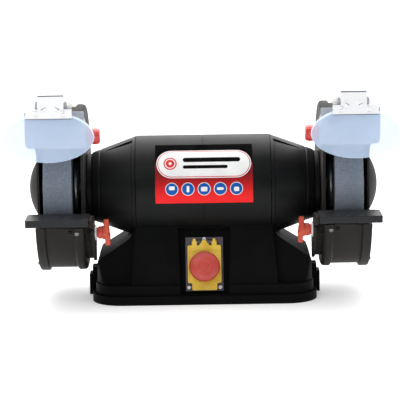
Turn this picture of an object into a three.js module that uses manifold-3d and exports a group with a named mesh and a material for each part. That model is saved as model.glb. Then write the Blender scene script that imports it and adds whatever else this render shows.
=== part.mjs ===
// A twin-wheel bench grinder as separate solids, in millimetres, +Z up.
// The shaft runs along X, the operator stands on the -Y side, and the origin
// is on the bench surface, straight under the middle of the motor.
import * as THREE from 'three';
import { mergeVertices } from 'three/addons/utils/BufferGeometryUtils.js';
import Module from 'manifold-3d';

const wasm = await Module();
wasm.setup();

// ---- driving dimensions -------------------------------------------------
const gap = 0.3; // clearance between pieces that touch
const shaftHeight = 158;
const roundSides = 40; // sides of the large round pieces
const smallSides = 14; // sides of studs, knobs and pins

const drum = { radius: 73.4, wall: 6.3, halfLength: 97 };
const bell = { bigRadius: 72.8, smallRadius: 50, coneEnd: 160, collarRadius: 48, end: 168.7 };
const bearing = { outer: 23.5, start: 148.3, end: 162.3 };
const shaft = { radius: 13, journal: 10, nose: 8, journalStart: 130, shoulder: 178.6, end: 245 };
const core = { radius: 42, airGap: 0.8, halfLength: 45, windingEnd: 72 };

const wheel = { radius: 100, inner: 186, outer: 226, bevel: 1 };
const flange = { radius: 39, thickness: 6.8, outerThickness: 5 };
const nut = { radius: 13.8, length: 10 };

const guard = {
  inner: 169, wall: 4, shroudOuter: 117, shroudInner: 113.5, beadRadius: 120.5, beadEnd: 183,
  shroudEnd: 228.7, mouthFront: -88, mouthBottom: -41, shaftHole: 15,
};
const cover = {
  skirtStart: 224, skirtRadius: 121, sheet: 3, face: 235, rim: 237.5, ribInner: 109, ribOuter: 113,
  domeRadius: 48, domeTop: 253,
};
const bellBore = { mouth: 66, throat: 43.5, floor: 156, hubRadius: 29, hubStart: 146, shaftHole: 12 };

const restStud = { y: -70, z: -55, radius: 4 };
const sparkStud = { y: -60, z: 82.5, radius: 4 };
const rest = { start: 160.3, end: 248, front: -153, back: -103.3, top: -21.5, thickness: 10.3, corner: 7 };
const restPlate = {
  start: 156, end: 160, outer: 108, inner: 74, fromDeg: -26, toDeg: -76, slotLength: 21, slotY: -60,
};
const restKnob = {
  tip: 134.5, foot: 153, boreEnd: 144, hubRadius: 10, wingSpan: 19, wingHalf: 5.4, neckHalf: 3.6,
  wingStart: 133.5, wingEnd: 143.5,
};
const restWasher = { start: 153.5, end: 155.7, radius: 10.8 };
const spark = {
  start: 165.3, end: 248.5, back: -104.5, sheet: 2.5, bottom: 72, top: 124, lipTipY: -86.8, lipTipZ: 61,
  armSheet: 3, slotLength: 14, slotY: -54,
};
const sparkKnob = { tip: 145.5, foot: 164.8, boreStart: 152, radius: 11.6 };
const hinge = { y: -113.5, z: 134, pinRadius: 2.5, barrelRadius: 5, tilt: THREE.MathUtils.degToRad(18.4) };
const ear = { inner: 189.3, outer: 231.7, sheet: 2.4 };
const clamp = {
  front: -6.5, back: -4.5, start: 181, end: 245, low: -21, high: -7, earStart: 192.3, earEnd: 228.7, top: 13,
};
const lens = { centre: 213, halfWidth: 63, halfHeight: 35.6, drop: 46, thickness: 2 };

const base = {
  halfWidth: 168.5, lipHalf: 162, halfDepth: 93, cornerRadius: 44, lipHeight: 12.5, ledgeHeight: 27,
  lugHalf: 13, lugLow: 30, lugTop: 41,
  panelTopY: -54, panelTopZ: 108, panelBottomY: -88, panelBottomZ: 12,
  panelTopHalf: 98, panelBottomHalf: 106.7,
  wall: 6, wingSetBack: 11, boltX: 159.5, boltRadius: 4,
};
const panelSlope = (base.panelTopY - base.panelBottomY) / (base.panelTopZ - base.panelBottomZ);
const panel = {
  y: (base.panelTopY + base.panelBottomY) / 2, z: (base.panelTopZ + base.panelBottomZ) / 2,
  tilt: -Math.atan(panelSlope), recessTop: 37.7, recessBottom: 34.5,
  recessLow: -48.5, recessHigh: 48.5, recessDepth: 12,
};
const control = {
  halfWidth: 27, low: -43, high: 35, plate: 2.7, bodyHalf: 21, bodyLow: -34, bodyHigh: 26, bodyBack: 44,
};
const flap = {
  halfWidth: 24, low: -32, high: 22.5, front: 3, back: 8.6, axisY: 5, axisZ: 27, tabHalf: 18, tabLow: -42.5,
};
const flapPin = { radius: 1, half: 17.5 };
const flapLugs = [[-10.2, -4.2], [4.2, 10.2]];
const flapArms = [[-17.8, -10.8], [10.8, 17.8]];
const mushroom = { z: -9.5, radius: 22, stem: 8, underside: -3, crown: -14, stemEnd: 5 };
const button = { start: 9, stop: mushroom.z, halfWidth: 8, halfHeight: 5.5, front: 6.3, back: 15 };
const gland = { x: 62, z: -6, bore: 8, nutRadius: 12.5, cableRadius: 3.8 };
const label = { halfWidth: 69.5, low: -11, high: 60.5, thickness: 0.7 };

// ---- materials ----------------------------------------------------------
const finish = (color, roughness, metalness) => (
  new THREE.MeshStandardMaterial({ color, roughness, metalness })
);
const blackPaint = () => finish(0x0c0d0d, 0.42, 0.2);
const guardPaint = () => finish(0x2b2a29, 0.45, 0.3);
const greyStone = () => finish(0x77818c, 0.95, 0);
const steel = () => finish(0xb9bcc0, 0.3, 1);
const zincPlate = () => finish(0xe9ebed, 0.25, 1);
const restMetal = () => finish(0x3c414d, 0.4, 0.6);
const redPlastic = () => finish(0xd0342a, 0.35, 0);
const yellowPlastic = () => finish(0xe2b62c, 0.45, 0);
const greyPlastic = () => finish(0x55545c, 0.6, 0);
const greenPlastic = () => finish(0x2f9a4a, 0.4, 0);
const darkPlastic = () => finish(0x18181a, 0.55, 0);
const laminate = () => finish(0x7c7f84, 0.5, 0.9);
const clearPlastic = () => {
  const material = finish(0xdfe9f7, 0.08, 0);
  material.transparent = true;
  material.opacity = 0.35;
  return material;
};

// ---- turning geometry into solids and back ------------------------------
function signedVolume(position, index) {
  const [a, b, c] = [new THREE.Vector3(), new THREE.Vector3(), new THREE.Vector3()];
  let volume = 0;
  for (let i = 0; i < index.length; i += 3) {
    a.fromBufferAttribute(position, index[i]);
    b.fromBufferAttribute(position, index[i + 1]);
    c.fromBufferAttribute(position, index[i + 2]);
    volume += a.dot(b.cross(c)) / 6;
  }
  return volume;
}

function solid(geometry) {
  geometry.deleteAttribute('normal');
  geometry.deleteAttribute('uv');
  const merged = mergeVertices(geometry, 1e-4);
  const whole = [];
  for (let i = 0; i < merged.index.count; i += 3) {
    const corners = [merged.index.getX(i), merged.index.getX(i + 1), merged.index.getX(i + 2)];
    if (new Set(corners).size === 3) whole.push(...corners);
  }
  if (signedVolume(merged.attributes.position, whole) < 0) whole.reverse();
  const mesh = new wasm.Mesh({
    numProp: 3,
    vertProperties: new Float32Array(merged.attributes.position.array),
    triVerts: new Uint32Array(whole),
  });
  return new wasm.Manifold(mesh);
}

function geometryOf(body) {
  const mesh = body.getMesh();
  const geometry = new THREE.BufferGeometry();
  geometry.setAttribute('position', new THREE.BufferAttribute(new Float32Array(mesh.vertProperties), 3));
  geometry.setIndex(new THREE.BufferAttribute(new Uint32Array(mesh.triVerts), 1));
  geometry.computeVertexNormals();
  return geometry;
}

// ---- shape helpers ------------------------------------------------------
function block(x0, x1, y0, y1, z0, z1) {
  const geometry = new THREE.BoxGeometry(x1 - x0, y1 - y0, z1 - z0);
  geometry.translate((x0 + x1) / 2, (y0 + y1) / 2, (z0 + z1) / 2);
  return solid(geometry);
}

// A closed profile of [x, radius] points turned about the X axis.
function turnedX(profile, sides = roundSides, y = 0, z = 0) {
  const points = profile.map(([x, radius]) => new THREE.Vector2(radius, x));
  const onAxis = profile[0][1] === 0 && profile.at(-1)[1] === 0;
  if (!onAxis) points.push(points[0].clone());
  const geometry = new THREE.LatheGeometry(points, sides);
  geometry.rotateZ(-Math.PI / 2);
  geometry.translate(0, y, z);
  return solid(geometry);
}

function rodX(radius, x0, x1, y = 0, z = 0, sides = smallSides) {
  return turnedX([[x0, 0], [x0, radius], [x1, radius], [x1, 0]], sides, y, z);
}

// The same turned about a line along Y, for pieces that face the operator.
function turnedY(profile, sides = smallSides, x = 0, z = 0) {
  const points = profile.map(([y, radius]) => new THREE.Vector2(radius, y));
  const onAxis = profile[0][1] === 0 && profile.at(-1)[1] === 0;
  if (!onAxis) points.push(points[0].clone());
  const geometry = new THREE.LatheGeometry(points, sides);
  geometry.translate(x, 0, z);
  return solid(geometry);
}

function outline(points) {
  if (points instanceof THREE.Shape) return points;
  return new THREE.Shape(points.map(([u, v]) => new THREE.Vector2(u, v)));
}

function extruded(points, depth) {
  return new THREE.ExtrudeGeometry(outline(points), { depth, bevelEnabled: false, curveSegments: 4 });
}

// Prisms: the outline lies in the plane across the named axis.
function prismX(points, x0, x1) {
  const geometry = extruded(points, x1 - x0); // outline is (y, z)
  geometry.rotateX(Math.PI / 2);
  geometry.rotateZ(Math.PI / 2);
  geometry.translate(x0, 0, 0);
  return solid(geometry);
}

function prismY(points, y0, y1) {
  const geometry = extruded(points, y1 - y0); // outline is (x, z)
  geometry.rotateX(Math.PI / 2);
  geometry.translate(0, y1, 0);
  return solid(geometry);
}

function prismZ(points, z0, z1) {
  const geometry = extruded(points, z1 - z0); // outline is (x, y)
  geometry.translate(0, 0, z0);
  return solid(geometry);
}

function slotX(length, radius, x0, x1, y, z) {
  const half = length / 2;
  const ends = rodX(radius, x0, x1, y - half, z).add(rodX(radius, x0, x1, y + half, z));
  return ends.add(block(x0, x1, y - half, y + half, z - radius, z + radius));
}

function arcPoints(radius, fromDeg, toDeg, steps) {
  const points = [];
  for (let i = 0; i <= steps; i += 1) {
    const angle = THREE.MathUtils.degToRad(fromDeg + ((toDeg - fromDeg) * i) / steps);
    points.push([-radius * Math.cos(angle), radius * Math.sin(angle)]);
  }
  return points;
}

function mirrored(points) {
  const right = points.map(([u, v]) => [u, v]);
  const left = points.map(([u, v]) => [-u, v]).reverse();
  return [...right, ...left];
}

// ---- the model tree -----------------------------------------------------
const grinder = new THREE.Group();
const onShaft = new THREE.Group();
onShaft.position.z = shaftHeight;
const onPanel = new THREE.Group();
onPanel.position.set(0, panel.y, panel.z);
onPanel.rotation.x = panel.tilt;
grinder.add(onShaft, onPanel);

function place(parent, name, body, material) {
  const mesh = new THREE.Mesh(geometryOf(body), material);
  mesh.name = name;
  parent.add(mesh);
  return mesh;
}

// Side pieces are drawn for the right-hand head and mirrored for the left.
function placePair(name, body, makeMaterial, parent = onShaft) {
  place(parent, `${name}_right`, body, makeMaterial());
  const geometry = geometryOf(body);
  geometry.scale(-1, 1, 1);
  place(parent, `${name}_left`, solid(geometry), makeMaterial());
}

// ---- base ---------------------------------------------------------------
function planOutline(inset) {
  const [x, y] = [base.lipHalf - inset, base.halfDepth - inset];
  const radius = base.cornerRadius - inset * 0.5;
  const quarter = Math.PI / 2;
  const shape = new THREE.Shape();
  shape.moveTo(radius - x, -y);
  shape.absarc(x - radius, radius - y, radius, -quarter, 0);
  shape.absarc(x - radius, y - radius, radius, 0, quarter);
  shape.absarc(radius - x, y - radius, radius, quarter, 2 * quarter);
  shape.absarc(radius - x, radius - y, radius, 2 * quarter, 3 * quarter);
  return shape;
}

function sideProfile(inset, setBack) {
  const below = -2; // starts under the bench surface and is trimmed there
  const topY = base.panelTopY + inset + setBack;
  const bottomY = topY - panelSlope * (base.panelTopZ - below);
  return [[bottomY, below], [topY, base.panelTopZ], [-topY, base.panelTopZ], [-bottomY, below]];
}

function wingProfile(inset) {
  const rise = inset * 1.2;
  return mirrored([
    [base.halfWidth - 8.5 - inset, -2],
    [base.halfWidth - 11 - inset, 46 - rise],
    [base.halfWidth - 16.5 - inset, 60 - rise],
    [108 - inset * 0.5, 89 - rise],
    [96 - inset * 0.5, 108 - rise],
  ]);
}

function panelBlock(body) {
  const geometry = geometryOf(body);
  geometry.rotateX(panel.tilt);
  geometry.translate(0, panel.y, panel.z);
  return solid(geometry);
}

function baseOuter() {
  const lip = prismZ(planOutline(0), 0, base.lipHeight);
  const step = prismZ(planOutline(5), 0, base.ledgeHeight);
  const pedestalFront = mirrored([[base.panelBottomHalf + 1, -2], [base.panelTopHalf, base.panelTopZ]]);
  const pedestal = prismY(pedestalFront, -base.halfDepth, base.halfDepth)
    .intersect(prismX(sideProfile(0, 0), -base.halfWidth, base.halfWidth));
  const wings = prismY(wingProfile(0), -base.halfDepth, base.halfDepth)
    .intersect(prismX(sideProfile(0, base.wingSetBack), -base.halfWidth, base.halfWidth))
    .intersect(prismZ(planOutline(7), -2, base.panelTopZ));
  const { halfWidth, lugHalf, lugLow, lugTop } = base;
  const upperHalf = halfWidth - 4.5;
  const lugs = block(-halfWidth, halfWidth, -lugHalf, lugHalf, 0, lugLow)
    .add(block(-upperHalf, upperHalf, -lugHalf + 2, lugHalf - 2, 0, lugTop));
  const above = block(-200, 200, -120, 120, 0, base.panelTopZ - 0.5);
  return lip.add(step).add(pedestal).add(wings).add(lugs).intersect(above);
}

function baseCavity() {
  const hollow = prismY(wingProfile(base.wall), -base.halfDepth, base.halfDepth)
    .intersect(prismX(sideProfile(base.wall, base.wingSetBack), -base.halfWidth, base.halfWidth))
    .intersect(prismZ(planOutline(base.wall + 9), -2, base.panelTopZ));
  const belowDrum = block(-200, 200, -120, 120, -2, shaftHeight - drum.radius - 7);
  return hollow.intersect(belowDrum);
}

function recessShape() {
  const depth = panel.recessDepth;
  const sides = [[-panel.recessBottom, panel.recessLow], [panel.recessBottom, panel.recessLow],
    [panel.recessTop, panel.recessHigh], [-panel.recessTop, panel.recessHigh]];
  return prismY(sides, -8, depth);
}

function makeBase() {
  const thickness = 5;
  const backing = block(-panel.recessTop - thickness, panel.recessTop + thickness, 0,
    panel.recessDepth + thickness, panel.recessLow - 2, panel.recessHigh);
  const pocketWalls = panelBlock(backing).intersect(baseOuter());
  const switchHole = block(-control.bodyHalf - 1, control.bodyHalf + 1, 0, 30,
    control.bodyLow - 1, control.bodyHigh + 1);
  const seatHalf = drum.halfLength + 1;
  const drumSeat = rodX(drum.radius + gap, -seatHalf, seatHalf, 0, shaftHeight, roundSides);
  const bellSeat = turnedX([[97, 0], [97, 76], [170, 53], [170, 0]], roundSides, 0, shaftHeight);
  const bellSeatLeft = turnedX([[-170, 0], [-170, 53], [-97, 76], [-97, 0]], roundSides, 0, shaftHeight);
  let body = baseOuter().subtract(baseCavity()).add(pocketWalls);
  body = body.subtract(panelBlock(recessShape())).subtract(panelBlock(switchHole));
  body = body.subtract(drumSeat).subtract(bellSeat).subtract(bellSeatLeft);
  body = body.subtract(prismZ(planOutline(9), -1, 3 + gap)); // seat of the bottom plate
  body = body.subtract(wireHole()).subtract(panelRearHole());
  for (const x of [-base.boltX, base.boltX]) body = body.subtract(boltHole(x));
  return body;
}

function wireHole() {
  const geometry = new THREE.CylinderGeometry(7, 7, 40, smallSides);
  geometry.rotateX(Math.PI / 2);
  geometry.translate(0, 0, shaftHeight - drum.radius - 4);
  return solid(geometry);
}

function panelRearHole() {
  const hole = gland.bore + gap;
  const body = turnedY([[-12, 0], [-12, hole], [14, hole], [14, 0]], smallSides, gland.x, gland.z);
  const geometry = geometryOf(body);
  geometry.rotateX(-panel.tilt);
  geometry.translate(0, -panel.y, panel.z);
  return solid(geometry);
}

function boltHole(x) {
  const geometry = new THREE.CylinderGeometry(base.boltRadius, base.boltRadius, 60, smallSides);
  geometry.rotateX(Math.PI / 2);
  geometry.translate(x, 0, 20);
  return solid(geometry);
}

place(grinder, 'base', makeBase(), blackPaint());
place(grinder, 'base_plate', prismZ(planOutline(9 + gap), 0, 3), steel());

function makeGland() {
  const across = gland.nutRadius;
  const hexagon = turnedY([[0.3, 0], [0.3, across], [7, across], [7, 0]], 6, gland.x, gland.z);
  const sleeve = [[-11, 0], [-11, gland.bore], [0.3, gland.bore], [0.3, 0]];
  const dome = turnedY(sleeve, smallSides, gland.x, gland.z)
    .add(turnedY([[7, 0], [7, 9.5], [14, 8.5], [17, 6], [17, 0]], smallSides, gland.x, gland.z));
  const cable = gland.cableRadius;
  const bore = turnedY([[-12, 0], [-12, cable], [18, cable], [18, 0]], smallSides, gland.x, gland.z);
  return hexagon.add(dome).subtract(bore);
}

const onRear = new THREE.Group();
onRear.position.set(0, -panel.y, panel.z);
onRear.rotation.x = -panel.tilt;
grinder.add(onRear);
place(onRear, 'cable_gland', makeGland(), darkPlastic());

// ---- motor --------------------------------------------------------------
function makeDrum() {
  const inner = drum.radius - drum.wall;
  const half = drum.halfLength;
  const tube = turnedX([[-half, inner], [-half, drum.radius], [half, drum.radius], [half, inner]]);
  return tube.subtract(rodZ(7.5, -drum.radius - 5, -inner + 5));
}

function rodZ(radius, z0, z1) {
  const geometry = new THREE.CylinderGeometry(radius, radius, z1 - z0, smallSides);
  geometry.rotateX(Math.PI / 2);
  geometry.translate(0, 0, (z0 + z1) / 2);
  return solid(geometry);
}

function makeBell() {
  const inner = drum.radius - drum.wall;
  const start = drum.halfLength + gap;
  const seat = bearing.outer + gap;
  const seatEnd = bearing.end + 2 * gap;
  const { mouth: wide, throat, floor, hubRadius, hubStart, shaftHole } = bellBore;
  return turnedX([
    [start, inner], [start, bell.bigRadius], [bell.coneEnd, bell.smallRadius],
    [bell.coneEnd + 1, bell.collarRadius], [bell.end, bell.collarRadius], [bell.end, shaftHole],
    [seatEnd, shaftHole], [seatEnd, seat], [hubStart, seat], [hubStart, hubRadius],
    [floor, hubRadius + 2], [floor, throat], [start + 5, wide],
  ]);
}

function makeStator() {
  const outer = drum.radius - drum.wall - gap;
  const bore = core.radius + core.airGap;
  const [half, end] = [core.halfLength, core.windingEnd];
  return turnedX([
    [-end, bore + 3], [-end, 60], [-half, 62], [-half, outer], [half, outer],
    [half, 62], [end, 60], [end, bore + 3], [half, bore], [-half, bore],
  ], 24);
}

function makeRotorCore() {
  const bore = shaft.radius + gap;
  const [half, radius] = [core.halfLength, core.radius];
  return turnedX([
    [-half - 7, bore], [-half - 7, radius - 4], [-half, radius - 2], [-half, radius],
    [half, radius], [half, radius - 2], [half + 7, radius - 4], [half + 7, bore],
  ], 20);
}

function makeShaft() {
  const { radius, journal, nose, journalStart, shoulder, end } = shaft;
  const side = [[journalStart, radius], [journalStart, journal], [shoulder, journal], [shoulder, nose],
    [end - 1, nose], [end, nose - 1]];
  const left = side.map(([x, r]) => [-x, r]).reverse();
  return turnedX([[-end, 0], ...left, ...side, [end, 0]], 16);
}

function makeLabel() {
  const inner = drum.radius + gap;
  const outer = inner + label.thickness;
  const steps = 10;
  const front = arcPoints(outer, label.low, label.high, steps);
  const back = arcPoints(inner, label.high, label.low, steps);
  return prismX([...front, ...back], -label.halfWidth, label.halfWidth);
}

place(onShaft, 'motor_housing', makeDrum(), blackPaint());
placePair('end_bell', makeBell(), blackPaint);
place(onShaft, 'stator', makeStator(), laminate());
place(onShaft, 'rotor_core', makeRotorCore(), laminate());
place(onShaft, 'shaft', makeShaft(), steel());
placePair('bearing', turnedX([
  [bearing.start, shaft.journal + gap], [bearing.start, bearing.outer],
  [bearing.end, bearing.outer], [bearing.end, shaft.journal + gap],
], 16), steel);
place(onShaft, 'label_plate', makeLabel(), redPlastic());
place(grinder, 'capacitor', rodX(17, -2, 66, 28, 36, 18), darkPlastic());

// ---- grinding head ------------------------------------------------------
function mouth() {
  return block(150, 260, -140, guard.mouthFront, guard.mouthBottom, 130);
}

function makeGuardHousing() {
  const shell = turnedX([
    [guard.inner, guard.shaftHole], [guard.inner, guard.beadRadius - 1.5],
    [guard.inner + 2, guard.beadRadius], [guard.beadEnd - 2, guard.beadRadius],
    [guard.beadEnd, guard.shroudOuter], [guard.shroudEnd, guard.shroudOuter],
    [guard.shroudEnd, guard.shroudInner], [guard.inner + guard.wall, guard.shroudInner],
    [guard.inner + guard.wall, guard.shaftHole],
  ]);
  const { inner, outer, fromDeg, toDeg } = restPlate;
  const pad = prismX([
    ...arcPoints(outer - 3, fromDeg - 4, toDeg + 2, 8), ...arcPoints(inner, toDeg + 2, fromDeg - 4, 6),
  ], restPlate.end + gap, guard.inner + 1);
  const boss = rodX(12, restPlate.end + gap, guard.inner + 1, restStud.y, restStud.z).add(pad);
  const holes = [restStud, sparkStud].map((stud) => rodX(stud.radius + gap, 150, 180, stud.y, stud.z));
  return shell.subtract(mouth()).add(boss).subtract(holes[0]).subtract(holes[1]);
}

function domeArc(radius, top, foot, steps) {
  const rise = top - foot;
  const sphere = (radius * radius + rise * rise) / (2 * rise);
  const points = [];
  for (let i = 0; i <= steps; i += 1) {
    const r = (radius * i) / steps;
    points.push([top - sphere + Math.sqrt(sphere * sphere - r * r), r]);
  }
  return points;
}

function makeGuardCover() {
  const inside = cover.face - cover.sheet;
  const outerDome = domeArc(cover.domeRadius, cover.domeTop, cover.face, 4);
  const innerDome = domeArc(cover.domeRadius - 3, cover.domeTop - cover.sheet, inside, 3).reverse();
  const shell = turnedX([
    ...outerDome, [cover.face, cover.ribInner],
    [cover.rim, cover.ribOuter], [cover.rim, cover.skirtRadius - 2],
    [cover.rim - 2, cover.skirtRadius], [cover.skirtStart, cover.skirtRadius],
    [cover.skirtStart, guard.shroudOuter + gap],
    [inside, guard.shroudOuter + gap], ...innerDome,
  ]);
  return shell.subtract(mouth());
}

function makeWheel() {
  const { inner, outer, radius, bevel } = wheel;
  const bore = shaft.nose + gap;
  return turnedX([
    [inner, bore], [inner, radius - bevel], [inner + bevel, radius], [outer - bevel, radius],
    [outer, radius - bevel], [outer, bore],
  ]);
}

function makeInnerFlange() {
  const bore = shaft.nose + gap;
  const end = wheel.inner - gap;
  const start = end - flange.thickness;
  const edge = flange.radius;
  return turnedX([[start, bore], [start, 30], [start + 3, edge], [end, edge], [end, bore]], 24);
}

function makeOuterFlange() {
  const bore = shaft.nose + gap;
  const start = wheel.outer + gap;
  const end = start + flange.outerThickness;
  const edge = flange.radius;
  return turnedX([[start, bore], [start, edge], [start + 3, edge], [end, 28], [end, bore]], 24);
}

function makeWheelNut() {
  const start = wheel.outer + gap + flange.outerThickness + gap;
  const body = rodX(nut.radius, start, start + nut.length, 0, 0, 6);
  return body.subtract(rodX(shaft.nose + gap, start - 1, start + nut.length + 1));
}

// ---- tool rest ----------------------------------------------------------
function makeToolRest() {
  const shape = new THREE.Shape();
  const { start, end, front, back, corner } = rest;
  shape.moveTo(start, front);
  shape.lineTo(end - 2, front);
  shape.quadraticCurveTo(end, front, end, front + 2);
  shape.lineTo(end, back - corner);
  shape.quadraticCurveTo(end, back, end - corner, back);
  shape.lineTo(start, back);
  const slab = prismZ(shape, rest.top - rest.thickness, rest.top);
  const hollow = block(start + 8, end - 5, front + 4, back - 5, rest.top - rest.thickness - 1, rest.top - 5);
  return slab.subtract(hollow);
}

function makeRestBracket() {
  const { start, end, outer, inner, fromDeg, toDeg, slotLength, slotY } = restPlate;
  const sector = [...arcPoints(outer, fromDeg, toDeg, 8), ...arcPoints(inner, toDeg, fromDeg, 6)];
  const armFront = rest.front + 6;
  const armTop = rest.top - 2;
  const arm = [[armFront, rest.top - rest.thickness], [armFront, armTop], [rest.back - 4, armTop],
    [-62, -33], [-78, -54], [-100, -44]];
  const plate = prismX(sector, start, end).add(prismX(arm, start, end));
  const slot = slotX(slotLength, restStud.radius + 2 * gap, start - 1, end + 1, slotY, restStud.z);
  return plate.subtract(slot);
}

function makeStud(stud, outEnd) {
  const head = guard.inner + guard.wall + gap;
  const { radius, y, z } = stud;
  return turnedX([
    [outEnd, 0], [outEnd, radius], [head, radius], [head, 9], [head + 3, 8], [head + 3, 0],
  ], smallSides, y, z);
}

function makeRestKnob() {
  const [y, z] = [restStud.y, restStud.z];
  const bore = restStud.radius + gap;
  const { tip, foot, boreEnd, hubRadius, wingSpan, wingHalf, neckHalf, wingStart, wingEnd } = restKnob;
  const hub = turnedX([
    [boreEnd, bore], [boreEnd, 0], [tip, 0], [tip, hubRadius - 2.5], [wingEnd, hubRadius],
    [foot, hubRadius - 1], [foot, bore],
  ], smallSides, y, z);
  const quarter = [[neckHalf, 6], [wingHalf, wingSpan - 3], [wingHalf - 1.4, wingSpan]];
  const top = [...quarter, ...quarter.map(([u, v]) => [-u, v]).reverse()];
  const wing = [...top, ...top.map(([u, v]) => [-u, -v])].map(([u, v]) => [y + u, z + v]);
  const core = rodX(hubRadius - 3, wingStart - 1, wingEnd + 1, y, z);
  return hub.add(prismX(wing, wingStart, wingEnd).subtract(core));
}

function makeWasher() {
  const bore = restStud.radius + gap;
  const { start, end, radius } = restWasher;
  const section = [[start, bore], [start, radius], [end, radius], [end, bore]];
  return turnedX(section, smallSides, restStud.y, restStud.z);
}

// ---- spark guard and eye shield -----------------------------------------
function makeSparkGuard() {
  const { start, end, back, sheet, bottom, top, lipTipY, lipTipZ, armSheet, slotLength, slotY } = spark;
  const face = back - sheet;
  const front = new THREE.Shape();
  front.moveTo(start, top);
  front.lineTo(start, bottom + 4);
  front.quadraticCurveTo(start, bottom, start + 4, bottom);
  front.lineTo(end - 8, bottom);
  front.quadraticCurveTo(end, bottom, end, bottom + 8);
  front.lineTo(end, top);
  const plate = prismY(front, face, back);
  const lip = [[face, bottom + 6], [face, bottom], [lipTipY, lipTipZ], [lipTipY + 1.4, lipTipZ + 2],
    [back, bottom + 3], [back, bottom + 6]];
  const tongue = prismX(lip, wheel.inner + 2, wheel.outer - 2);
  const arm = [[face, bottom + 6], [face, top - 8], [-84, top - 14], [-44, 96], [-40, 90], [-40, 76],
    [-46, 70], [-84, 66]];
  const side = prismX(arm, start, start + armSheet);
  const slotRadius = sparkStud.radius + 2 * gap;
  const slot = slotX(slotLength, slotRadius, start - 1, start + armSheet + 1, slotY, sparkStud.z);
  return plate.add(tongue).add(side).subtract(slot);
}

function makeSparkKnob() {
  const bore = sparkStud.radius + gap;
  const { tip, foot, boreStart, radius } = sparkKnob;
  return turnedX([
    [tip, 0], [tip, radius - 4], [tip + 1.5, radius - 1.4], [tip + 4, radius], [foot - 2.3, radius],
    [foot, radius - 1], [foot, bore], [boreStart, bore], [boreStart, 0],
  ], 18, sparkStud.y, sparkStud.z);
}

function makeShieldBracket() {
  const webBack = spark.back - spark.sheet - gap;
  const web = block(ear.inner, ear.outer, webBack - 2.5, webBack, 100, 121.5);
  const { y, z } = hinge;
  const shape = [[webBack, 108], [webBack, 128], [y + 5.4, z + 5], [y + 2.5, z + 5.6], [y - 2.6, z + 5],
    [y - 5, z], [y - 3.6, z - 4.6], [webBack - 2.5, 120]];
  const ears = prismX(shape, ear.inner, ear.inner + ear.sheet)
    .add(prismX(shape, ear.outer - ear.sheet, ear.outer));
  const hole = rodX(hinge.pinRadius + gap, ear.inner - 1, ear.outer + 1, hinge.y, hinge.z);
  return web.add(ears).subtract(hole);
}

// The shield's own pieces are drawn hanging straight down from the hinge line.
function tilted(body) {
  const geometry = geometryOf(body);
  geometry.rotateX(-hinge.tilt);
  geometry.translate(0, hinge.y, hinge.z);
  return solid(geometry);
}


function makeShieldFrame() {
  const { front, back, start, end, low, high, earStart, earEnd, top } = clamp;
  const upper = block(earStart, earEnd, front, back, high - 1, top);
  const lower = block(start, end, front, back, low, high);
  const barrel = rodX(hinge.barrelRadius, earStart, earEnd);
  const bore = rodX(hinge.pinRadius + gap, earStart - 2, earEnd + 2);
  const relief = block(206, 215, -1, 7, -7, 7);
  const slots = [201, 220].map((x) => turnedY([
    [front - 1, 0], [front - 1, 3.2], [back + 1, 3.2], [back + 1, 0],
  ], 12, x, -6.5));
  const body = upper.add(lower).add(barrel).subtract(bore).subtract(relief);
  return tilted(body.subtract(slots[0]).subtract(slots[1]));
}

function makeLens() {
  const shape = new THREE.Shape();
  shape.absellipse(lens.centre, -lens.drop, lens.halfWidth, lens.halfHeight, 0, Math.PI * 2);
  const back = clamp.back + gap + lens.thickness;
  const options = { depth: lens.thickness, bevelEnabled: false, curveSegments: 18 };
  const geometry = new THREE.ExtrudeGeometry(shape, options);
  geometry.rotateX(Math.PI / 2);
  geometry.translate(0, back, 0);
  return tilted(solid(geometry));
}

function makeLensBacking() {
  const front = clamp.back + lens.thickness + 2 * gap;
  return tilted(block(clamp.start + 2, clamp.end - 2, front, front + 1.8, clamp.low + 1, clamp.high - 2));
}

function makeHingePin() {
  const head = ear.outer + gap;
  return turnedX([
    [179.5, 0], [179.5, hinge.pinRadius], [head, hinge.pinRadius], [head, 4.6], [head + 2.7, 4],
    [head + 2.7, 0],
  ], 16, hinge.y, hinge.z);
}

function makeHingeNut() {
  const bore = hinge.pinRadius + gap;
  return turnedX([
    [181.5, bore], [181.5, 4.4], [183, 5.4], [187.4, 5.4], [189, 4], [189, bore],
  ], 16, hinge.y, hinge.z);
}

placePair('guard_housing', makeGuardHousing(), guardPaint);
placePair('guard_cover', makeGuardCover(), guardPaint);
placePair('grinding_wheel', makeWheel(), greyStone);
placePair('inner_flange', makeInnerFlange(), steel);
placePair('outer_flange', makeOuterFlange(), steel);
placePair('wheel_nut', makeWheelNut(), steel);
placePair('tool_rest', makeToolRest(), restMetal);
placePair('rest_bracket', makeRestBracket(), guardPaint);
placePair('rest_stud', makeStud(restStud, 146), zincPlate);
placePair('rest_washer', makeWasher(), zincPlate);
placePair('rest_knob', makeRestKnob(), redPlastic);
placePair('spark_guard', makeSparkGuard(), zincPlate);
placePair('spark_stud', makeStud(sparkStud, 153), zincPlate);
placePair('spark_knob', makeSparkKnob(), redPlastic);
placePair('shield_bracket', makeShieldBracket(), zincPlate);
placePair('shield_frame', makeShieldFrame(), zincPlate);
placePair('shield_lens', makeLens(), clearPlastic);
placePair('lens_backing', makeLensBacking(), zincPlate);
placePair('hinge_pin', makeHingePin(), steel);
placePair('hinge_nut', makeHingeNut(), steel);

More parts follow.
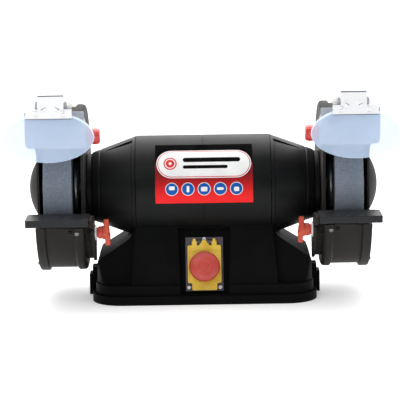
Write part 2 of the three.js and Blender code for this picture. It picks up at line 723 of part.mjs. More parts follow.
// ---- switch, drawn upright in the plane of the front panel --------------
function makeSwitchBody() {
  const front = panel.recessDepth - gap - control.plate;
  const { halfWidth, low, high, bodyHalf, bodyLow, bodyHigh, bodyBack } = control;
  const plateBody = block(-halfWidth, halfWidth, front, panel.recessDepth - gap, low, high);
  const body = block(-bodyHalf, bodyHalf, front + 1, bodyBack, bodyLow, bodyHigh);
  let whole = plateBody.add(body);
  for (const [x0, x1] of flapLugs) whole = whole.add(hingeLug(x0, x1, front));
  const [reachX, reachZ] = [button.halfWidth + gap, button.halfHeight + gap];
  for (const z of [button.start, button.stop]) {
    const well = block(-reachX, reachX, front - 1, button.back + 4.5, z - reachZ, z + reachZ);
    whole = whole.subtract(well);
  }
  return whole;
}

function hingeLug(x0, x1, front) {
  const { axisY: y, axisZ: z } = flap;
  const root = front + 1;
  const shape = [[root, z - 3], [y, z - 3], [y - 3, z - 1], [y - 3, z + 2], [y, z + 4], [root, z + 5]];
  return prismX(shape, x0, x1).subtract(rodX(flapPin.radius + gap, x0 - 1, x1 + 1, y, z, 12));
}

function makeFlap() {
  const { halfWidth, low, high, front, back, axisY, axisZ } = flap;
  let body = block(-halfWidth, halfWidth, front, back, low, high);
  body = body.subtract(block(-halfWidth + 3, halfWidth - 3, front + 2.4, back + 1, low + 3, high - 3));
  const stemHole = mushroom.stem + 0.5;
  body = body.subtract(turnedY([[-5, 0], [-5, stemHole], [20, stemHole], [20, 0]], 20, 0, mushroom.z));
  for (const [x0, x1] of flapArms) {
    const arm = [[axisY - 2, high - 2], [axisY - 2, axisZ + 1], [axisY, axisZ + 2.6], [axisY + 2, axisZ + 1],
      [axisY + 2.6, high - 2]];
    body = body.add(prismX(arm, x0, x1));
  }
  body = body.add(block(-flap.tabHalf, flap.tabHalf, front, back - 2.5, flap.tabLow, low + 1));
  return body.subtract(rodX(flapPin.radius + gap, -halfWidth, halfWidth, axisY, axisZ, 12));
}

function makeMushroom() {
  const { crown, underside, radius, stem, stemEnd } = mushroom;
  return turnedY([
    [crown, 0], [crown, 6], [crown + 0.8, 7.5], [crown + 1, radius - 6], [crown + 3.5, radius - 1.6],
    [underside - 3, radius], [underside, radius - 1], [underside, stem], [stemEnd, stem], [stemEnd, 0],
  ], 24, 0, mushroom.z);
}

function makeButton(z) {
  const { halfWidth, halfHeight, front, back } = button;
  return block(-halfWidth, halfWidth, front, back, z - halfHeight, z + halfHeight);
}

place(onPanel, 'switch_body', makeSwitchBody(), greyPlastic());
place(onPanel, 'switch_flap', makeFlap(), yellowPlastic());
const flapPinRod = rodX(flapPin.radius, -flapPin.half, flapPin.half, flap.axisY, flap.axisZ, 12);
place(onPanel, 'flap_pin', flapPinRod, steel());
place(onPanel, 'stop_mushroom', makeMushroom(), redPlastic());
place(onPanel, 'start_button', makeButton(button.start), greenPlastic());
place(onPanel, 'stop_button', makeButton(button.stop), redPlastic());

export default grinder;
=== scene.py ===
import math

import bmesh
import bpy
from mathutils import Matrix, Vector


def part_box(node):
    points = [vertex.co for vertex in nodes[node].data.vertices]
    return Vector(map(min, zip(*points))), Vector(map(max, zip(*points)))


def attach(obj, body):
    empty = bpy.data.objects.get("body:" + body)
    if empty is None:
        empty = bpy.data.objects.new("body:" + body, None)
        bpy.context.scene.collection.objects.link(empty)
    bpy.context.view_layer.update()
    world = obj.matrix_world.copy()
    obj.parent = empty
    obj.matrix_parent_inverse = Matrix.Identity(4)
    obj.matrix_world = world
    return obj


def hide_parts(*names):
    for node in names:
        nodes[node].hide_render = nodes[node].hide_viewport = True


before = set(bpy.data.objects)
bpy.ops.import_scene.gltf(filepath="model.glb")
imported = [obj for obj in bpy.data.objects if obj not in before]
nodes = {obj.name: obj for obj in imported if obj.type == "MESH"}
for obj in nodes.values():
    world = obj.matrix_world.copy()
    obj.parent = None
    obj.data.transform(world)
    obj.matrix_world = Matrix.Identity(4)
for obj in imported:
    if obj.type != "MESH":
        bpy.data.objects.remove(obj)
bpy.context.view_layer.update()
mm = 0.001
sides = {"left": -1, "right": 1}
shaftZ = sum(c.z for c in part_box("shaft")) / 2  # height of the shaft's centre line


# shader nodes written as sums
class Wire:
    # one output socket, so that sums on it add the Math nodes
    def __init__(self, book, socket):
        self.book, self.socket = book, socket

    def sum(self, operation, *others):
        values = {i: v for i, v in enumerate((self,) + others)}
        return self.book.add("ShaderNodeMath", {"operation": operation}, values)

    def flipped(self, operation, other):
        return self.book.add("ShaderNodeMath", {"operation": operation}, {0: other, 1: self})

    def __add__(self, other):
        return self.sum("ADD", other)

    def __radd__(self, other):
        return self.sum("ADD", other)

    def __sub__(self, other):
        return self.sum("SUBTRACT", other)

    def __rsub__(self, other):
        return self.flipped("SUBTRACT", other)

    def __mul__(self, other):
        return self.sum("MULTIPLY", other)

    def __rmul__(self, other):
        return self.sum("MULTIPLY", other)

    def __truediv__(self, other):
        return self.sum("DIVIDE", other)

    def __rtruediv__(self, other):
        return self.flipped("DIVIDE", other)

    def __abs__(self):
        return self.sum("ABSOLUTE")

    def step(self, low, high, fromValue=0.0, toValue=1.0):
        # smooth rise between two values
        settings = {"interpolation_type": "SMOOTHSTEP"}
        values = {0: self, 1: low, 2: high, 3: fromValue, 4: toValue}
        return self.book.add("ShaderNodeMapRange", settings, values)


class Book:
    # the node tree of one material, or of the world
    def __init__(self, name, world=False):
        self.owner = (bpy.data.worlds if world else bpy.data.materials).new(name)
        self.owner.use_nodes = True
        self.tree = self.owner.node_tree
        self.tree.nodes.clear()
        self.out = self.tree.nodes.new("ShaderNodeOutputWorld" if world else "ShaderNodeOutputMaterial")

    def add(self, kind, settings=None, values=None, output=0):
        node = self.tree.nodes.new(kind)
        for key, value in (settings or {}).items():
            if key == "stops":
                for i, (place, colour) in enumerate(value):
                    stop = node.color_ramp.elements[i] if i < 2 else node.color_ramp.elements.new(place)
                    stop.position, stop.color = place, colour
            else:
                setattr(node, key, value)
        for key, value in (values or {}).items():
            if isinstance(value, Wire):
                self.tree.links.new(value.socket, node.inputs[key])
            else:
                node.inputs[key].default_value = value
        return Wire(self, node.outputs[output])

    def place(self):
        # rest position on the object, in metres
        return self.add("ShaderNodeTexCoord", output="Object")

    def parts(self, vector):
        node = self.add("ShaderNodeSeparateXYZ", values={0: vector}).socket.node
        return [Wire(self, node.outputs[i]) for i in range(3)]

    def noise(self, scale, detail=3.0, rough=0.5, vector=None, stretch=None):
        vector = vector or self.place()
        if stretch:
            vector = self.add("ShaderNodeMapping", values={"Vector": vector, "Scale": stretch})
        return self.add("ShaderNodeTexNoise", {"noise_dimensions": "3D"},
                        {"Vector": vector, "Scale": scale, "Detail": detail, "Roughness": rough})

    def cells(self, scale, vector=None):
        values = {"Vector": vector or self.place(), "Scale": scale}
        return self.add("ShaderNodeTexVoronoi", {"feature": "F1"}, values)

    def blend(self, amount, first, second):
        settings = {"data_type": "RGBA", "blend_type": "MIX"}
        node = self.add("ShaderNodeMix", settings, {0: amount, 6: first, 7: second}).socket.node
        return Wire(self, node.outputs[2])

    def bump(self, height, strength, distance):
        values = {"Strength": strength, "Distance": distance, "Height": height}
        return self.add("ShaderNodeBump", values=values)

    def finish(self, **values):
        named = {key.replace("_", " "): value for key, value in values.items()}
        shader = self.add("ShaderNodeBsdfPrincipled", values=named)
        self.tree.links.new(shader.socket, self.out.inputs["Surface"])
        return self.owner


def tint(*rgb):
    return (*rgb, 1.0)


# finishes
def paintFinish(name, look):
    # sprayed or stoved paint: orange peel, slow mottling, dust on what faces up
    book = Book(name)
    slow = book.noise(look["mottle"], 4.0, 0.6)
    fine = book.noise(look["peel"], 2.0, 0.5)
    grime = book.noise(look["mottle"] * 3.1, 6.0, 0.7)
    colour = book.blend(slow.step(0.3, 0.7), tint(*look["dark"]), tint(*look["light"]))
    up = book.parts(book.add("ShaderNodeNewGeometry", output="Normal"))[2]
    dust = up.step(0.35, 1.0) * grime.step(0.35, 0.75) * look["dust"]
    colour = book.blend(dust, colour, tint(0.16, 0.155, 0.145))
    rough = slow.step(0.3, 0.7, look["rough"][0], look["rough"][1]) + dust * 0.4
    normal = book.bump(fine, look["peelDepth"], 0.0004)
    return book.finish(Base_Color=colour, Roughness=rough, Metallic=0.0, Normal=normal,
                       Specular_IOR_Level=look["shine"])


def metalFinish(name, look):
    # plated or ground metal with a drawn grain and faint stains
    book = Book(name)
    grain = book.noise(look["grain"], 3.0, 0.6, stretch=look["stretch"])
    stain = book.noise(look["stain"], 5.0, 0.65)
    colour = book.blend(stain.step(0.35, 0.75), tint(*look["light"]), tint(*look["dark"]))
    rough = grain.step(0.3, 0.7, look["rough"][0], look["rough"][1]) + stain * 0.08
    normal = book.bump(grain, look["grainDepth"], 0.0002)
    if "edge" in look:
        # painted shade: faces that point up or down get the dark 'edge' colour, standing in for the shadow
        # lines along plate edges
        rise = book.parts(book.add("ShaderNodeNewGeometry", output="Normal"))[2]
        shadeMask = rise.step(0.62, 0.85) + (rise * -1.0).step(0.45, 0.75)
        colour = book.blend(shadeMask * 0.85, colour, tint(*look["edge"]))
    return book.finish(Base_Color=colour, Roughness=rough, Metallic=look["metal"], Normal=normal)


def plasticFinish(name, look):
    # moulded plastic: fine spark-eroded texture, slight flow marks
    book = Book(name)
    flow = book.noise(look["flow"], 3.0, 0.55)
    texture = book.noise(look["texture"], 2.0, 0.5)
    colour = book.blend(flow.step(0.3, 0.7), tint(*look["dark"]), tint(*look["light"]))
    rough = flow.step(0.3, 0.7, look["rough"][0], look["rough"][1])
    normal = book.bump(texture, look["textureDepth"], 0.0003)
    return book.finish(Base_Color=colour, Roughness=rough, Normal=normal,
                       Specular_IOR_Level=look["shine"], Coat_Weight=look["coat"], Coat_Roughness=0.12)


def stoneFinish(name, look):
    # bonded grit: grains of several greys with pores between them
    book = Book(name)
    grit = book.cells(look["grit"])
    coarse = book.noise(look["coarse"], 4.0, 0.7)
    sparkle = book.noise(look["grit"] * 1.7, 2.0, 0.6)
    colour = book.blend(sparkle.step(0.42, 0.62), tint(*look["dark"]), tint(*look["light"]))
    colour = book.blend(coarse.step(0.5, 0.75) * 0.45, colour, tint(*look["worn"]))
    pores = grit.step(0.25, 0.75)
    colour = book.blend(pores * 0.35, colour, tint(*look["pore"]))
    normal = book.bump(grit * 0.6 + sparkle * 0.4, look["depth"], 0.0006)
    return book.finish(Base_Color=colour, Roughness=0.93, Normal=normal, Specular_IOR_Level=0.25)


blackLook = {"dark": (0.0045, 0.005, 0.005), "light": (0.0075, 0.008, 0.008), "mottle": 14.0,
             "peel": 900.0, "peelDepth": 0.10, "dust": 0.015, "rough": (0.34, 0.44), "shine": 0.13}
baseLook = {"dark": (0.0034, 0.0036, 0.0036), "light": (0.0056, 0.0058, 0.0058), "mottle": 11.0,
            "peel": 700.0, "peelDepth": 0.14, "dust": 0.008, "rough": (0.52, 0.62), "shine": 0.04}
guardLook = {"dark": (0.015, 0.0135, 0.012), "light": (0.022, 0.020, 0.018), "mottle": 18.0,
             "peel": 1100.0, "peelDepth": 0.10, "dust": 0.03, "rough": (0.50, 0.62), "shine": 0.14}
restLook = {"dark": (0.010, 0.0105, 0.012), "light": (0.016, 0.0165, 0.019), "mottle": 22.0,
            "peel": 1300.0, "peelDepth": 0.12, "dust": 0.05, "rough": (0.26, 0.36), "shine": 0.22}
zincLook = {"light": (0.95, 0.955, 0.97), "dark": (0.86, 0.87, 0.90), "grain": 260.0,
            "stretch": (1.0, 1.0, 9.0), "stain": 30.0, "rough": (0.30, 0.42), "grainDepth": 0.08,
            "metal": 0.15}
# the 'edge' colour here and in sheetLook is painted shade, laid on faces that point up or down
edgedLook = {**zincLook, "edge": (0.16, 0.16, 0.20)}
sheetLook = {"edge": (0.15, 0.15, 0.19), "light": (0.43, 0.445, 0.485), "dark": (0.36, 0.375, 0.42),
             "grain": 240.0, "stretch": (1.0, 1.0, 8.0), "stain": 26.0, "rough": (0.38, 0.50),
             "grainDepth": 0.08, "metal": 0.30}
steelLook = {"light": (0.78, 0.765, 0.72), "dark": (0.62, 0.61, 0.58), "grain": 380.0,
             "stretch": (6.0, 1.0, 1.0), "stain": 40.0, "rough": (0.22, 0.34), "grainDepth": 0.06,
             "metal": 0.7}
coreLook = {"light": (0.30, 0.30, 0.31), "dark": (0.18, 0.18, 0.19), "grain": 900.0,
            "stretch": (8.0, 1.0, 1.0), "stain": 30.0, "rough": (0.40, 0.55), "grainDepth": 0.15,
            "metal": 0.9}
wingRedLook = {"dark": (0.56, 0.060, 0.030), "light": (0.66, 0.085, 0.040), "flow": 60.0,
               "texture": 1800.0, "textureDepth": 0.12, "rough": (0.34, 0.46), "shine": 0.5, "coat": 0.0}
knobRedLook = {"dark": (0.60, 0.030, 0.025), "light": (0.70, 0.045, 0.035), "flow": 50.0,
               "texture": 1500.0, "textureDepth": 0.05, "rough": (0.20, 0.30), "shine": 0.6, "coat": 0.5}
stopRedLook = {"dark": (0.52, 0.055, 0.040), "light": (0.60, 0.075, 0.055), "flow": 45.0,
               "texture": 1600.0, "textureDepth": 0.10, "rough": (0.36, 0.46), "shine": 0.5, "coat": 0.1}
yellowLook = {"dark": (0.84, 0.55, 0.05), "light": (0.94, 0.66, 0.09), "flow": 50.0, "texture": 1500.0,
              "textureDepth": 0.10, "rough": (0.34, 0.44), "shine": 0.5, "coat": 0.1}
switchGreyLook = {"dark": (0.075, 0.065, 0.085), "light": (0.11, 0.098, 0.125), "flow": 60.0,
                  "texture": 1700.0, "textureDepth": 0.14, "rough": (0.42, 0.55), "shine": 0.45,
                  "coat": 0.0}
greenLook = {"dark": (0.02, 0.22, 0.06), "light": (0.03, 0.30, 0.08), "flow": 50.0, "texture": 1600.0,
             "textureDepth": 0.08, "rough": (0.32, 0.42), "shine": 0.5, "coat": 0.1}
darkPlasticLook = {"dark": (0.010, 0.010, 0.011), "light": (0.017, 0.017, 0.019), "flow": 60.0,
                   "texture": 1500.0, "textureDepth": 0.16, "rough": (0.45, 0.58), "shine": 0.45,
                   "coat": 0.0}
whiteInkLook = {"dark": (0.78, 0.78, 0.78), "light": (0.86, 0.86, 0.86), "flow": 60.0, "texture": 2000.0,
                "textureDepth": 0.04, "rough": (0.28, 0.36), "shine": 0.5, "coat": 0.3}
blackInkLook = {"dark": (0.004, 0.004, 0.004), "light": (0.007, 0.007, 0.007), "flow": 60.0,
                "texture": 2000.0, "textureDepth": 0.04, "rough": (0.60, 0.70), "shine": 0.0, "coat": 0.0}
redInkLook = {"dark": (0.62, 0.008, 0.012), "light": (0.72, 0.012, 0.016), "flow": 60.0,
              "texture": 2000.0, "textureDepth": 0.04, "rough": (0.28, 0.36), "shine": 0.5, "coat": 0.3}
blueInkLook = {"dark": (0.005, 0.085, 0.36), "light": (0.008, 0.105, 0.42), "flow": 60.0,
               "texture": 2000.0, "textureDepth": 0.04, "rough": (0.38, 0.46), "shine": 0.15, "coat": 0.0}
stoneLook = {"grit": 900.0, "coarse": 60.0, "dark": (0.15, 0.175, 0.215), "light": (0.29, 0.335, 0.40),
             "worn": (0.33, 0.37, 0.42), "pore": (0.07, 0.08, 0.096), "depth": 0.45}

finishes = {
    "black": paintFinish("satinBlackPaint", blackLook),
    "base": paintFinish("castBasePaint", baseLook),
    "guard": paintFinish("guardPaint", guardLook),
    "rest": paintFinish("bluedRest", restLook),
    "zinc": metalFinish("brightZinc", zincLook),
    "edged": metalFinish("edgedZinc", edgedLook),
    "sheet": metalFinish("dullZincSheet", sheetLook),
    "steel": metalFinish("turnedSteel", steelLook),
    "core": metalFinish("lamination", coreLook),
    "wingRed": plasticFinish("orangeRedMoulding", wingRedLook),
    "knobRed": plasticFinish("glossRedMoulding", knobRedLook),
    "stopRed": plasticFinish("stopRedMoulding", stopRedLook),
    "yellow": plasticFinish("yellowMoulding", yellowLook),
    "switchGrey": plasticFinish("greyMoulding", switchGreyLook),
    "green": plasticFinish("greenMoulding", greenLook),
    "darkPlastic": plasticFinish("blackMoulding", darkPlasticLook),
    "whiteInk": plasticFinish("whiteInk", whiteInkLook),
    "blackInk": plasticFinish("blackInk", blackInkLook),
    "redInk": plasticFinish("redInk", redInkLook),
    "blueInk": plasticFinish("blueInk", blueInkLook),
    "stone": stoneFinish("bondedGrit", stoneLook),
}
print("finishes ready:", len(finishes))


# mesh building, all sizes in mm and heights measured from the shaft
def rounded(points, radius, steps=4):
    # closed outline with each corner eased; a third number on a point is its own radius
    made = []
    count = len(points)
    for i, point in enumerate(points):
        here = Vector(point[:2])
        reach = point[2] if len(point) > 2 else radius
        before, after = Vector(points[i - 1][:2]), Vector(points[(i + 1) % count][:2])
        back, ahead = before - here, after - here
        room = min(reach, back.length * 0.48, ahead.length * 0.48)
        if room < 0.02:
            made.append((here.x, here.y))
            continue
        start, end = here + back.normalized() * room, here + ahead.normalized() * room
        for k in range(steps + 1):
            t = k / steps
            p = start * (1 - t) ** 2 + here * 2 * t * (1 - t) + end * t * t
            made.append((p.x, p.y))
    return made


def meshObject(name, verts, faces):
    mesh = bpy.data.meshes.new(name)
    mesh.from_pydata([Vector(v) * mm for v in verts], [], faces)
    work = bmesh.new()
    work.from_mesh(mesh)
    bmesh.ops.remove_doubles(work, verts=work.verts, dist=1e-7)
    bmesh.ops.recalc_face_normals(work, faces=work.faces)
    work.to_mesh(mesh)
    work.free()
    obj = bpy.data.objects.new(name, mesh)
    bpy.context.scene.collection.objects.link(obj)
    return obj


def turned(name, profile, y=0.0, z=0.0, count=96, side=1, ripple=None):
    # closed (x, radius) outline turned about a line along X; height z is from the shaft
    verts, faces = [], []
    size = len(profile)
    for k in range(count):
        a = 2 * math.pi * k / count
        for x, r in profile:
            if ripple and r > ripple["above"]:
                r = r - ripple["depth"] * (0.5 + 0.5 * math.cos(a * ripple["count"]))
            verts.append((side * x, y + r * math.sin(a), shaftZ / mm + z + r * math.cos(a)))
    for k in range(count):
        n = (k + 1) % count
        for i in range(size):
            j = (i + 1) % size
            faces.append((k * size + i, k * size + j, n * size + j, n * size + i))
    return meshObject(name, verts, faces)


def solidTurned(name, profile, y=0.0, z=0.0, count=64, side=1, ripple=None):
    # open (x, radius) outline whose two ends lie on the axis
    verts, faces = [], []
    body = [p for p in profile if p[1] > 1e-6]
    size = len(body)
    for k in range(count):
        a = 2 * math.pi * k / count
        for x, r in body:
            if ripple and r > ripple["above"]:
                r = r - ripple["depth"] * (0.5 + 0.5 * math.cos(a * ripple["count"]))
            verts.append((side * x, y + r * math.sin(a), shaftZ / mm + z + r * math.cos(a)))
    for k in range(count):
        n = (k + 1) % count
        for i in range(size - 1):
            faces.append((k * size + i, k * size + i + 1, n * size + i + 1, n * size + i))
    for end, row in ((0, 0), (-1, size - 1)):
        verts.append((side * profile[end][0], y, shaftZ / mm + z))
        centre = len(verts) - 1
        for k in range(count):
            faces.append((k * size + row, ((k + 1) % count) * size + row, centre))
    return meshObject(name, verts, faces)


def prism(name, outline, low, high, axis="x", side=1, z=None):
    # outline pushed along an axis: x takes (y, z), y takes (x, z), z takes (x, y)
    lift = shaftZ / mm if z is None else z
    make = {
        "x": lambda u, v, w: (side * w, u, v + lift),
        "y": lambda u, v, w: (side * u, w, v + lift),
        "z": lambda u, v, w: (side * u, v, w + lift),
    }[axis]
    count = len(outline)
    verts = [make(u, v, w) for w in (low, high) for u, v in outline]
    faces = [tuple(range(count)), tuple(range(count, 2 * count))]
    faces += [(i, (i + 1) % count, count + (i + 1) % count, count + i) for i in range(count)]
    return meshObject(name, verts, faces)


def boxOutline(u0, u1, v0, v1, radius=0.0, steps=4):
    return rounded([(u0, v0), (u1, v0), (u1, v1), (u0, v1)], radius, steps)


def ringOutline(u, v, reachU, reachV, count):
    turns = [2 * math.pi * k / count for k in range(count)]
    return [(u + reachU * math.cos(a), v + reachV * math.sin(a)) for a in turns]


def carve(obj, *cutters, operation="DIFFERENCE"):
    for cutter in cutters:
        change = obj.modifiers.new("carve", "BOOLEAN")
        change.operation, change.solver, change.object = operation, "EXACT", cutter
    bpy.context.view_layer.update()
    seen = obj.evaluated_get(bpy.context.evaluated_depsgraph_get())
    made = bpy.data.meshes.new_from_object(seen)
    obj.modifiers.clear()
    obj.data = made
    for cutter in cutters:
        bpy.data.objects.remove(cutter)
    return obj


def joined(obj, *others):
    # the others' closed shells become part of the object's own mesh
    bpy.context.view_layer.update()
    graph = bpy.context.evaluated_depsgraph_get()
    work = bmesh.new()
    for piece in (obj,) + others:
        made = bpy.data.meshes.new_from_object(piece.evaluated_get(graph))
        work.from_mesh(made)
        bpy.data.meshes.remove(made)
    work.to_mesh(obj.data)
    work.free()
    for piece in others:
        bpy.data.objects.remove(piece)
    return obj


def moved(obj, matrix):
    obj.data.transform(matrix)
    return obj


def soften(obj, bevel, segments, angle=32.0):
    if bevel:
        edge = obj.modifiers.new("edge", "BEVEL")
        edge.width, edge.segments, edge.limit_method = bevel * mm, segments, "ANGLE"
        edge.angle_limit = math.radians(angle)
        edge.harden_normals = False
    obj.data.shade_smooth()
    even = obj.modifiers.new("even", "WEIGHTED_NORMAL")
    even.keep_sharp = True
    even.weight = 80


def settle(obj, body, finish, stands=(), bevel=0.0, angle=32.0):
    # final dressing of a new piece: finish, soft edges, and the body that it rides on
    obj.data.materials.clear()
    obj.data.materials.append(finishes[finish])
    soften(obj, bevel, 2, angle)
    if not bevel:
        obj.data.set_sharp_from_angle(angle=math.radians(angle))
    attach(obj, body)
    if stands:
        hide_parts(*stands)
    return obj


def dress(node, finish, bevel=0.0, segments=2, angle=32.0):
    # a carried-over node: new finish, welded and eased edges
    obj = nodes[node]
    obj.data.materials.clear()
    obj.data.materials.append(finishes[finish])
    if "custom_normal" in obj.data.attributes:
        obj.data.attributes.remove(obj.data.attributes["custom_normal"])
    weld = obj.modifiers.new("weld", "WELD")
    weld.merge_threshold = 2e-6
    flat = obj.modifiers.new("flat", "DECIMATE")
    flat.decimate_type, flat.angle_limit = "DISSOLVE", math.radians(0.5)
    soften(obj, bevel, segments, angle)


# motor
motor = {"radius": 73.4, "inner": 67.1, "half": 97.0, "edge": 1.6, "seamWidth": 0.55, "seamDepth": 0.5}


def buildDrum():
    r, half, seam = motor["radius"], motor["half"], motor["seamWidth"]
    floor = r - motor["seamDepth"]
    outline = [(-half, motor["inner"]), (-half, r, motor["edge"]), (-seam, r, 0.3), (-seam * 0.4, floor, 0.1),
               (seam * 0.4, floor, 0.1), (seam, r, 0.3), (half, r, motor["edge"]), (half, motor["inner"])]
    drum = turned("drumShell", rounded(outline, 0.0), count=160)
    settle(drum, "frame", "black", ["motor_housing"], angle=30)


buildDrum()

bell = {"start": 97.3, "big": 72.8, "coneEnd": 160.0, "small": 50.0, "collar": 48.0, "end": 168.7,
        "bore": 12.0, "ribs": (103.5, 149.0), "ribWidth": 1.0, "ribDepth": 0.7,
        "slotWidth": 5.0, "slotAngle": 17.0}


def bellRadius(x):
    fall = (bell["small"] - bell["big"]) / (bell["coneEnd"] - bell["start"])
    return bell["big"] + (x - bell["start"]) * fall


def buildBell(sideName):
    side = sides[sideName]
    outline = [(bell["start"], 67.1), (bell["start"], bell["big"], 0.8)]
    for x in bell["ribs"]:
        w, d = bell["ribWidth"], bell["ribDepth"]
        outline += [(x - w, bellRadius(x - w), 0.3), (x - w * 0.5, bellRadius(x) - d, 0.2),
                    (x + w * 0.5, bellRadius(x) - d, 0.2), (x + w, bellRadius(x + w), 0.3)]
    outline += [(bell["coneEnd"], bell["small"], 1.2), (bell["coneEnd"] + 1, bell["collar"], 0.6),
                (bell["end"], bell["collar"], 2.2), (bell["end"], bell["bore"], 0.5), (162.9, bell["bore"]),
                (162.9, 23.8), (146, 23.8), (146, 29), (156, 31), (156, 43.5), (102.3, 66)]
    shell = turned("endBell_" + sideName, rounded(outline, 0.0), count=160, side=side)
    # a long wedge pocket pressed into the top of the cone, wide at the motor end
    pocket = [(100.5, -bell["slotWidth"]), (141.0, -0.8), (141.0, 0.8), (100.5, bell["slotWidth"])]
    cutter = prism("pocketCutter", pocket, -2.2, 6.0, "z", side, z=0)
    slope = math.atan2(bell["big"] - bell["small"], bell["coneEnd"] - bell["start"])
    middle = 120.0
    tilt = Matrix.Translation(Vector((side * middle, 0, bellRadius(middle))) * mm)
    tilt = tilt @ Matrix.Rotation(side * slope, 4, "Y")
    tilt = tilt @ Matrix.Translation(Vector((-side * middle, 0, 0)) * mm)
    turn = Matrix.Rotation(math.radians(bell["slotAngle"]), 4, "X")
    moved(cutter, Matrix.Translation((0, 0, shaftZ)) @ turn @ tilt)
    carve(shell, cutter)
    settle(shell, "frame", "black", ["end_bell_" + sideName], bevel=0.35, angle=40)


for sideName in sides:
    buildBell(sideName)
print("motor shells built")

# label: printed film lying on the drum
film = {"radius": 73.7, "halfWidth": 69.5, "low": -11.0, "high": 60.5, "thick": 0.5, "rows": 40,
        "shift": 1.2}


def onFilm(x, along, lift):
    # along is the arc length in mm up the drum from the film's lower edge
    angle = math.radians(film["low"]) + along / film["radius"]
    r = film["radius"] + lift
    return (x + film["shift"], -r * math.cos(angle), shaftZ / mm + r * math.sin(angle))


def filmPatch(name, rows, low, high, finish, stands=()):
    verts, faces = [], []
    for lift in (low, high):
        for along, x0, x1 in rows:
            verts += [onFilm(x0, along, lift), onFilm(x1, along, lift)]
    count = len(rows)
    for i in range(count - 1):
        a, b = 2 * i, 2 * (count + i)
        faces += [(a, a + 1, a + 3, a + 2), (b, b + 1, b + 3, b + 2)]
        faces += [(a, a + 2, b + 2, b), (a + 1, a + 3, b + 3, b + 1)]
    last = 2 * (count - 1)
    faces += [(0, 1, 2 * count + 1, 2 * count), (last, last + 1, 2 * count + last + 1, 2 * count + last)]
    return settle(meshObject(name, verts, faces), "frame", finish, stands, angle=30)


def barRows(x0, x1, v0, v1, steps=6):
    return [(v0 + (v1 - v0) * i / steps, x0, x1) for i in range(steps + 1)]


def roundRows(x0, x1, v0, v1, radius, steps=20):
    rows = []
    for i in range(steps + 1):
        v = v0 + (v1 - v0) * (0.5 - 0.5 * math.cos(math.pi * i / steps))
        near = min(v - v0, v1 - v)
        gap = max(radius - near, 0.0)
        inset = radius - math.sqrt(max(radius * radius - gap * gap, 0.0))
        inset = min(inset, (x1 - x0) / 2 - 0.02)
        rows.append((v, x0 + inset, x1 - inset))
    return rows


def fieldFinish():
    # printed field that runs from a dark wine red at the top to bright red at the foot
    book = Book("shadedRedInk")
    height = book.parts(book.place())[2]
    ends = [Vector(onFilm(0, along, 0)).z * mm for along in (2.0, 48.0)]
    rise = height.step(ends[0], ends[1])
    ink = book.noise(420.0, 2.0, 0.5)
    colour = book.blend(rise, tint(0.86, 0.009, 0.010), tint(0.16, 0.006, 0.008))
    colour = book.blend(ink.step(0.4, 0.7) * 0.08, colour, tint(0.95, 0.05, 0.05))
    normal = book.bump(ink, 0.04, 0.0002)
    return book.finish(Base_Color=colour, Roughness=0.42, Normal=normal, Specular_IOR_Level=0.2)


finishes["field"] = fieldFinish()
label = {
    "bandFrom": 58.0, "badge": (-67.5, 67.5, 36.0, 79.5), "discX": (-46.0, -23.0, 0.0, 23.0, 46.0),
    "discV": 20.5, "discRadius": 9.3, "signX": -48.0,
    "sign": (("wheelSignRing", 9.5, 0.30, "redInk"), ("wheelSignDisc", 7.6, 0.36, "whiteInk"),
             ("wheelSignStone", 6.2, 0.42, "redInk"), ("wheelSignBore", 2.2, 0.48, "whiteInk")),
    "bars": ((-30, 52, -2.0, 7.0), (-30, 34, 8.0, 5.0)),  # left, right, drop below the middle, height
    "marks": ((-4.2, 4.2, -1.2, 4.2), (-2.0, 2.0, -4.5, 4.5), (-4.6, 4.6, -3.4, 3.0),
              (-4.8, 4.8, -1.8, 2.0), (-3.4, 3.8, -3.8, 2.6)),
}


def buildLabel():
    total = math.radians(film["high"] - film["low"]) * film["radius"]
    half = film["halfWidth"]
    filmPatch("labelField", barRows(-half, half, 0, total, film["rows"]), 0.0, film["thick"], "field",
              stands=["label_plate"])
    filmPatch("labelBand", barRows(-half + 0.05, half - 0.05, label["bandFrom"], total - 0.05, 30), 0.2,
              film["thick"] + 0.06, "blackInk")
    x0, x1, v0, v1 = label["badge"]
    v1 = min(v1, total - 4.0)
    radius = (v1 - v0) / 2
    filmPatch("badgeRim", roundRows(x0, x1, v0, v1, radius, 30), 0.3, film["thick"] + 0.12, "whiteInk")
    filmPatch("badgeLine", roundRows(x0 + 1.3, x1 - 1.3, v0 + 1.3, v1 - 1.3, radius - 1.3, 30), 0.3,
              film["thick"] + 0.18, "redInk")
    filmPatch("badgeFace", roundRows(x0 + 2.4, x1 - 2.4, v0 + 2.4, v1 - 2.4, radius - 2.4, 30), 0.3,
              film["thick"] + 0.24, "whiteInk")
    middle = (v0 + v1) / 2
    lift = film["thick"]
    # a plain wheel sign: ring, disc and bore, then rows of bars
    for name, r, high, finish in label["sign"]:
        x, v = label["signX"], middle
        filmPatch(name, roundRows(x - r, x + r, v - r, v + r, r, 24), 0.3, lift + high, finish)
    for i, (left, right, drop, tall) in enumerate(label["bars"]):
        v = middle - drop
        rows = roundRows(left, right, v, v + tall, tall / 2, 16)
        filmPatch(f"badgeBar_{i}", rows, 0.3, lift + 0.30, "blackInk")
    for i, (x, mark) in enumerate(zip(label["discX"], label["marks"])):
        v = label["discV"]
        for name, r, high, finish in (("signRim", label["discRadius"], 0.12, "whiteInk"),
                                      ("signDisc", label["discRadius"] - 0.9, 0.18, "blueInk")):
            rows = roundRows(x - r, x + r, v - r, v + r, r, 24)
            filmPatch(f"{name}_{i}", rows, 0.3, lift + high, finish)
        a, b, c, d = mark
        rows = roundRows(x + a, x + b, v + c, v + d, 1.6, 14)
        filmPatch(f"signMark_{i}", rows, 0.3, lift + 0.24, "whiteInk")


buildLabel()
print("label built")

